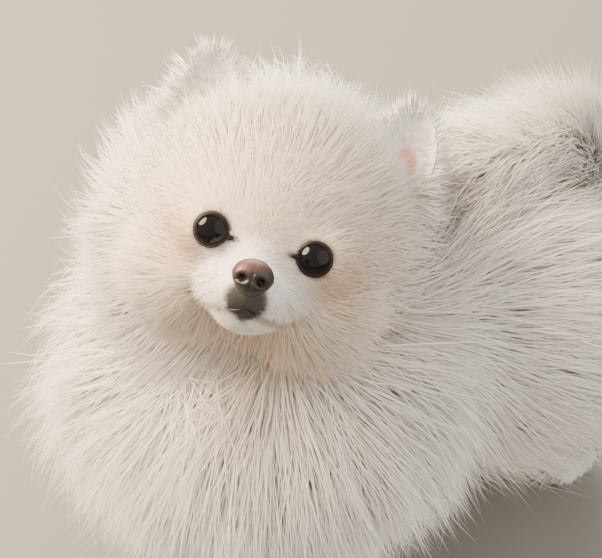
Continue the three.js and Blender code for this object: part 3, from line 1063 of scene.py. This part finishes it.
class POMERANIAN_OT_mouth(bpy.types.Operator):
    """Model the dark lips and the line of the mouth"""

    bl_idname = "pomeranian.mouth"
    bl_label = "Mouth"

    def execute(self, context):
        (cx, cy, cz), (rx, ry, rz) = MUZZLE
        bm = bmesh.new()
        for drop, thick, spread in LIPS:
            previous = None
            level = math.sqrt(1 - (drop / rz) ** 2)
            steps = 34
            for i in range(steps + 1):
                along = i / steps * 2 - 1
                turn = along * 1.45 * spread
                sag = 1.4 * math.sin(abs(turn)) ** 2
                centre = Vector((
                    cx + (rx * level + LIPS_OUT) * math.sin(turn),
                    cy - (ry * level + LIPS_OUT) * math.cos(turn),
                    cz - drop - sag + 1.2 * math.exp(-((turn / 0.18) ** 2)),
                ))
                size = thick * (1 - 0.75 * abs(along) ** 3)
                at = HEAD @ Matrix.Translation(centre) @ Matrix.Rotation(turn, 4, "Z")
                at = at @ Matrix.Rotation(math.pi / 2, 4, "Y")
                end = i in (0, steps)
                ring = bmesh.ops.create_circle(bm, segments=8, radius=size, matrix=at, cap_ends=end)
                ring = ring["verts"]
                if previous:
                    bridge(bm, previous, ring)
                previous = ring
        lips = from_bmesh("lips", bm, lip_material())
        finish_piece(lips, "nose")
        return {"FINISHED"}


class POMERANIAN_OT_ears(bpy.types.Operator):
    """Model each ear as a thin cup, pink inside, with short fur and a fringe"""

    bl_idname = "pomeranian.ears"
    bl_label = "Ears"

    def execute(self, context):
        rng = np.random.default_rng(EAR_SEED)
        look = ear_material()
        hair = hair_material()
        for name, side in (("left", 1), ("right", -1)):
            bm = bmesh.new()
            bmesh.ops.create_icosphere(bm, subdivisions=5, radius=1)
            at = HEAD @ Matrix.Translation(EAR_PLACES[name]) @ Matrix.Rotation(side * EAR_LEAN, 4, "Y")
            # A flat ball that is hollow in front, narrows upwards and bends back at its top and foot
            for vert in bm.verts:
                x, y, z = vert.co
                point = 1 - 0.16 * max(0.0, z) ** 1.6
                depth = y * 7.5 if y > 0 else -y * 4.6 - 1.3 * (1 - abs(y))
                vert.co = at @ Vector((x * EAR_WIDTH * point, depth + 1.5 * z * z, z * EAR_HEIGHT))
            ear = from_bmesh(f"ear_cup_{name}", bm, look)
            local = into(at.inverted(), points_of(ear.data))
            normals = normals_of(ear.data)
            facing = -(normals @ np.array(at)[:3, 1])
            hollow = 1 - lengths((local[:, [0, 2]] - (side * 2, -3)) / (8, 12))
            inside = ramp(facing, 0.1, 0.6) * ramp(hollow, 0.02, 0.4)
            pink = np.array(linear("#e8917a"))
            white = np.array(settings().coat_white)
            paint(ear.data, white * (1 - inside[:, None]) + pink * inside[:, None])
            unwrap(ear)
            finish_piece(ear, "ear", f"ear_{name}")

            # The fur is thin in the cup, and longest at the foot of the ear
            mesh = ear.data
            rim = ramp(lengths(local[:, [0, 2]] / (EAR_WIDTH, EAR_HEIGHT)), 0.7, 0.95)
            weight = (1 - 0.93 * inside) * (1 + ramp(facing, 0, 0.5))
            corners, loops, shares, _ = sample(mesh, weight, EAR_STRANDS, rng)
            roots = at_roots(points_of(mesh), corners, shares)
            out = unit(at_roots(normals, corners, shares))
            edge = at_roots(rim, corners, shares)
            place = into(at.inverted(), roots)
            lie = np.column_stack([place[:, 0] / 12, np.full(len(roots), 0.1), place[:, 2] / 40 + 0.6])
            lie = unit((lie + rng.normal(0, 0.25, lie.shape)) @ np.array(at)[:3, :3].T)
            size = 5.0 + 2.5 * edge + 16 * ramp(-place[:, 2], -4, 20)
            tips = roots + (lie + out * 0.45) * size[:, None]
            share = rng.uniform(0.7, 1.1, len(roots))
            width = np.full(len(roots), EAR_STRAND_WIDTH)
            strands = (roots, tips, out, share, width, at_roots(loop_uvs(mesh), loops, shares))
            grow(f"ear_fur_{name}", "ear", hair, rng, *strands, 2, 12, 0.45, 0.15, 0.2)
        return {"FINISHED"}


class POMERANIAN_OT_claws(bpy.types.Operator):
    """Model the small claws in front of the toes"""

    bl_idname = "pomeranian.claws"
    bl_label = "Claws"

    def execute(self, context):
        bm = bmesh.new()
        tilt = Matrix.Rotation(math.radians(CLAW_TILT), 4, "X")
        size = {"radius1": CLAW_RADIUS, "radius2": 0.25, "depth": CLAW_LENGTH}
        for x, y in PAWS:
            for place in toe_places(x, y - 22.5, 4.6):
                bmesh.ops.create_cone(bm, cap_ends=True, segments=10, matrix=place @ tilt, **size)
        for vert in bm.verts:
            vert.co.z = max(vert.co.z, 0.4)
        claws = from_bmesh("claws", bm, claw_material())
        finish_piece(claws, "nose")
        return {"FINISHED"}


class POMERANIAN_OT_stage(bpy.types.Operator):
    """Set the plain floor, the soft lights and the camera"""

    bl_idname = "pomeranian.stage"
    bl_label = "Stage"

    def execute(self, context):
        bm = bmesh.new()
        bmesh.ops.create_grid(bm, x_segments=2, y_segments=2, size=FLOOR_SIZE)
        floor = from_bmesh("floor", bm, floor_material())
        floor.data.transform(Matrix.Translation((0, 0, -floor.data.vertices[0].co.z)))

        world = bpy.context.scene.world or bpy.data.worlds.new("studio")
        bpy.context.scene.world = world
        world.use_nodes = True
        background = world.node_tree.nodes["Background"]
        background.inputs["Color"].default_value = (*linear("#f5efe6"), 1)
        background.inputs["Strength"].default_value = 1.3

        azimuth = math.radians(CAMERA_AZIMUTH)
        elevation = math.radians(CAMERA_ELEVATION)
        back = Vector((
            math.sin(azimuth) * math.cos(elevation),
            -math.cos(azimuth) * math.cos(elevation),
            math.sin(elevation),
        ))
        right = Vector((math.cos(azimuth), math.sin(azimuth), 0))
        up = back.cross(right)
        middle = PLACED @ Vector(CAMERA_TARGET)
        lens = bpy.data.cameras.new("camera")
        lens.sensor_width = SENSOR_WIDTH
        lens.lens = SENSOR_WIDTH * FOCAL_PIXELS / IMAGE_WIDTH
        camera = bpy.data.objects.new("camera", lens)
        camera.location = middle + back * CAMERA_DISTANCE * MM
        camera.rotation_mode = "QUATERNION"
        camera.rotation_quaternion = (-back).to_track_quat("-Z", "Y")
        bpy.context.scene.collection.objects.link(camera)
        bpy.context.scene.camera = camera

        for name, (across, upwards, backwards), size, power, colour in LIGHTS:
            data = bpy.data.lights.new(name, "AREA")
            data.shape = "DISK"
            data.size = size
            data.energy = power
            data.color = linear(colour)
            light = bpy.data.objects.new(name, data)
            way = across * right + upwards * up + backwards * back
            light.location = middle + way.normalized() * LIGHT_DISTANCE
            light.rotation_mode = "QUATERNION"
            light.rotation_quaternion = (middle - light.location).to_track_quat("-Z", "Y")
            bpy.context.scene.collection.objects.link(light)
        return {"FINISHED"}


STEPS = ("skin", "coat", "eyes", "nose", "mouth", "ears", "claws", "stage")


class POMERANIAN_PT_panel(bpy.types.Panel):
    """The steps of the model, in order"""

    bl_idname = "POMERANIAN_PT_panel"
    bl_label = "Pomeranian"
    bl_space_type = "VIEW_3D"
    bl_region_type = "UI"
    bl_category = "Pomeranian"

    def draw(self, context):
        column = self.layout.column()
        for name in ("coat_white", "coat_cream", "eye_radius", "lid_opening", "coat_share"):
            column.prop(context.scene.pomeranian, name)
        for step in STEPS:
            column.operator(f"pomeranian.{step}")


CLASSES = (
    PomeranianSettings,
    POMERANIAN_OT_skin,
    POMERANIAN_OT_coat,
    POMERANIAN_OT_eyes,
    POMERANIAN_OT_nose,
    POMERANIAN_OT_mouth,
    POMERANIAN_OT_ears,
    POMERANIAN_OT_claws,
    POMERANIAN_OT_stage,
    POMERANIAN_PT_panel,
)


def register():
    for made in CLASSES:
        bpy.utils.register_class(made)
    bpy.types.Scene.pomeranian = bpy.props.PointerProperty(type=PomeranianSettings)


def unregister():
    del bpy.types.Scene.pomeranian
    for made in reversed(CLASSES):
        bpy.utils.unregister_class(made)


def main():
    register()
    for step in STEPS:
        getattr(bpy.ops.pomeranian, step)()


if __name__ == "__main__":
    main()
